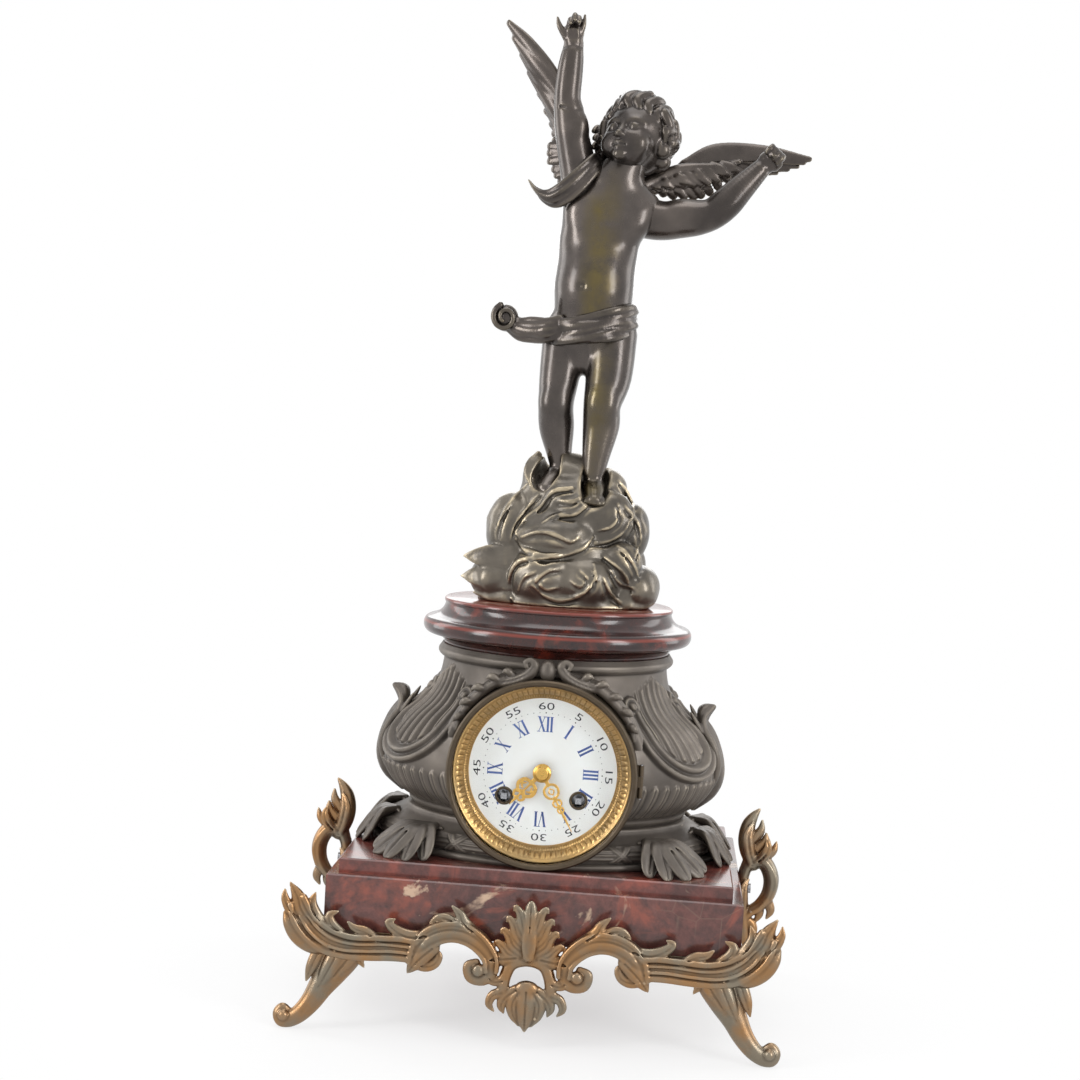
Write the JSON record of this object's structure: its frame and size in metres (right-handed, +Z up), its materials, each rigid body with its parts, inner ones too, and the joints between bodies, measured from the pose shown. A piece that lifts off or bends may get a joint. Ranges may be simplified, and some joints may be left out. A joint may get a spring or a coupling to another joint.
{
  "type": "figural clock",
  "caption": "Mantel clock with a winged child on a cloud above a round marble plinth, a bombe dark metal case with an enamel dial, and a red marble base on scrolled gilt feet.",
  "frame": {"origin": "on the floor under the middle of the overall box", "axes": "+Z up, -Y towards the viewer of the dial, +X to the viewer's right"},
  "size_m": [0.283, 0.188, 0.583],
  "materials": {
    "red_marble": "polished red griotte marble with pale inclusions",
    "gilt_mount": "antique gilding, dark in the hollows",
    "dark_spelter": "dark bronzed cast metal, satin",
    "bronze_patina": "dark bronze patina rubbed to olive gold on the high spots",
    "dark_brass": "darkened brass",
    "gilt_brass": "gilt, engine turned",
    "brass": "fine brushed brass",
    "steel": "polished steel",
    "bell_metal": "turned bell metal",
    "enamel": "white glazed enamel with painted numerals",
    "clear_glass": "clear"
  },
  "bodies": {
    "clock_case": {"marble_base_block": "red_marble", "marble_base_step": "red_marble", "marble_plinth": "red_marble", "front_apron": "gilt_mount", "front_left_leg": "gilt_mount", "front_right_leg": "gilt_mount", "rear_left_leg": "gilt_mount", "rear_right_leg": "gilt_mount", "left_side_scroll": "gilt_mount", "right_side_scroll": "gilt_mount", "case_socle": "dark_spelter", "case_body": "dark_spelter", "case_ornaments": "dark_spelter", "cloud_mound": "bronze_patina", "figure_body": "bronze_patina", "figure_right_arm": "bronze_patina", "figure_left_arm": "bronze_patina", "figure_right_wing": "bronze_patina", "figure_left_wing": "bronze_patina", "bezel_seat": "dark_brass", "rear_bezel": "dark_brass", "sight_ring": "gilt_brass", "front_plate": "brass", "back_plate": "brass", "movement_straps": "brass", "bell_stand": "brass", "suspension_cock": "brass", "mount_screws": "steel", "case_bolts": "steel", "figure_fixing": "steel", "hinge_pins": "steel", "rear_bezel_screws": "steel", "bell": "bell_metal", "dial": "enamel"},
    "bezel": {"bezel_door": "dark_brass", "dial_glass": "clear_glass"},
    "rear_cover": {"rear_cover": "dark_brass"},
    "minute_train": {"centre_wheel": "brass", "cannon_pinion": "brass", "minute_hand": "gilt_brass", "hand_nut": "gilt_brass"},
    "hour_train": {"hour_wheel": "brass", "hour_hand": "gilt_brass"},
    "minute_wheel": {"minute_wheel": "brass"},
    "going_barrel": {"going_barrel": "brass"},
    "intermediate_wheel": {"intermediate_wheel": "brass"},
    "third_wheel": {"third_wheel": "brass"},
    "escape_wheel": {"escape_wheel": "brass"},
    "pendulum": {"pallet_verge": "steel", "pendulum_rod": "steel", "pendulum_bob": "brass"},
    "rating_nut": {"rating_nut": "brass"},
    "going_arbor": {"going_winding_arbor": "steel"},
    "strike_arbor": {"strike_winding_arbor": "steel"},
    "going_click": {"going_click": "steel"},
    "strike_click": {"strike_click": "steel"},
    "strike_barrel": {"strike_barrel": "brass"},
    "strike_pin_wheel": {"strike_pin_wheel": "brass"},
    "strike_fly": {"strike_fly": "brass"},
    "strike_hammer": {"strike_hammer": "steel"}
  },
  "joints": [
    {"name": "bezel_hinge", "type": "hinge", "parent": "clock_case", "child": "bezel", "pos_m": [0.0553, -0.06985, 0.1485], "axis": [0, 0, 1], "range_deg": [0, 105]},
    {"name": "rear_cover_hinge", "type": "hinge", "parent": "clock_case", "child": "rear_cover", "pos_m": [0.0553, 0.06615, 0.1485], "axis": [0, 0, -1], "range_deg": [0, 110]},
    {"name": "minute_hand_turn", "type": "hinge", "parent": "clock_case", "child": "minute_train", "pos_m": [0, -0.066, 0.1485], "axis": [0, 1, 0], "continuous": true},
    {"name": "hour_hand_turn", "type": "hinge", "parent": "clock_case", "child": "hour_train", "pos_m": [0, -0.064, 0.1485], "axis": [0, 1, 0], "continuous": true},
    {"name": "minute_wheel_turn", "type": "hinge", "parent": "clock_case", "child": "minute_wheel", "pos_m": [0.0099, -0.054, 0.1584], "axis": [0, 1, 0], "continuous": true},
    {"name": "going_barrel_turn", "type": "hinge", "parent": "clock_case", "child": "going_barrel", "pos_m": [0.021, -0.036, 0.1335], "axis": [0, 1, 0], "continuous": true},
    {"name": "intermediate_turn", "type": "hinge", "parent": "clock_case", "child": "intermediate_wheel", "pos_m": [0.01608, -0.036, 0.15247], "axis": [0, 1, 0], "continuous": true},
    {"name": "third_turn", "type": "hinge", "parent": "clock_case", "child": "third_wheel", "pos_m": [-0.00732, -0.036, 0.16227], "axis": [0, 1, 0], "continuous": true},
    {"name": "escape_turn", "type": "hinge", "parent": "clock_case", "child": "escape_wheel", "pos_m": [0, -0.036, 0.17488], "axis": [0, 1, 0], "continuous": true},
    {"name": "pendulum_swing", "type": "hinge", "parent": "clock_case", "child": "pendulum", "pos_m": [0, -0.008, 0.18698], "axis": [0, 1, 0], "range_deg": [-3.5, 3.5]},
    {"name": "rating_nut_turn", "type": "hinge", "parent": "pendulum", "child": "rating_nut", "pos_m": [0, -0.008, 0.05818], "axis": [0, 0, 1], "continuous": true},
    {"name": "going_winding", "type": "hinge", "parent": "clock_case", "child": "going_arbor", "pos_m": [0.021, -0.062, 0.1335], "axis": [0, 1, 0], "continuous": true},
    {"name": "strike_winding", "type": "hinge", "parent": "clock_case", "child": "strike_arbor", "pos_m": [-0.021, -0.062, 0.1335], "axis": [0, 1, 0], "continuous": true},
    {"name": "going_click_lift", "type": "hinge", "parent": "clock_case", "child": "going_click", "pos_m": [0.03142, -0.053, 0.13836], "axis": [0, 1, 0], "range_deg": [0, 10]},
    {"name": "strike_click_lift", "type": "hinge", "parent": "clock_case", "child": "strike_click", "pos_m": [-0.03142, -0.053, 0.13836], "axis": [0, -1, 0], "range_deg": [0, 10]},
    {"name": "strike_pin_wheel_turn", "type": "hinge", "parent": "clock_case", "child": "strike_pin_wheel", "pos_m": [-0.0336, -0.036, 0.14851], "axis": [0, 1, 0], "continuous": true},
    {"name": "strike_barrel_turn", "type": "hinge", "parent": "clock_case", "child": "strike_barrel", "pos_m": [-0.021, -0.036, 0.1335], "axis": [0, 1, 0], "continuous": true},
    {"name": "strike_fly_turn", "type": "hinge", "parent": "clock_case", "child": "strike_fly", "pos_m": [-0.02991, -0.036, 0.15866], "axis": [0, 1, 0], "continuous": true},
    {"name": "hammer_lift", "type": "hinge", "parent": "clock_case", "child": "strike_hammer", "pos_m": [-0.0394, -0.036, 0.1311], "axis": [0, -1, 0], "range_deg": [0, 12]}
  ],
  "couplings": [
    {"joint": "hour_hand_turn", "follows": "minute_hand_turn", "ratio": 0.083333},
    {"joint": "minute_wheel_turn", "follows": "minute_hand_turn", "ratio": -0.33333},
    {"joint": "intermediate_turn", "follows": "minute_hand_turn", "ratio": -0.125},
    {"joint": "going_barrel_turn", "follows": "minute_hand_turn", "ratio": 0.020833},
    {"joint": "third_turn", "follows": "minute_hand_turn", "ratio": -12},
    {"joint": "escape_turn", "follows": "minute_hand_turn", "ratio": 150},
    {"joint": "strike_barrel_turn", "follows": "strike_pin_wheel_turn", "ratio": -0.16667},
    {"joint": "strike_fly_turn", "follows": "strike_pin_wheel_turn", "ratio": -8}
  ]
}
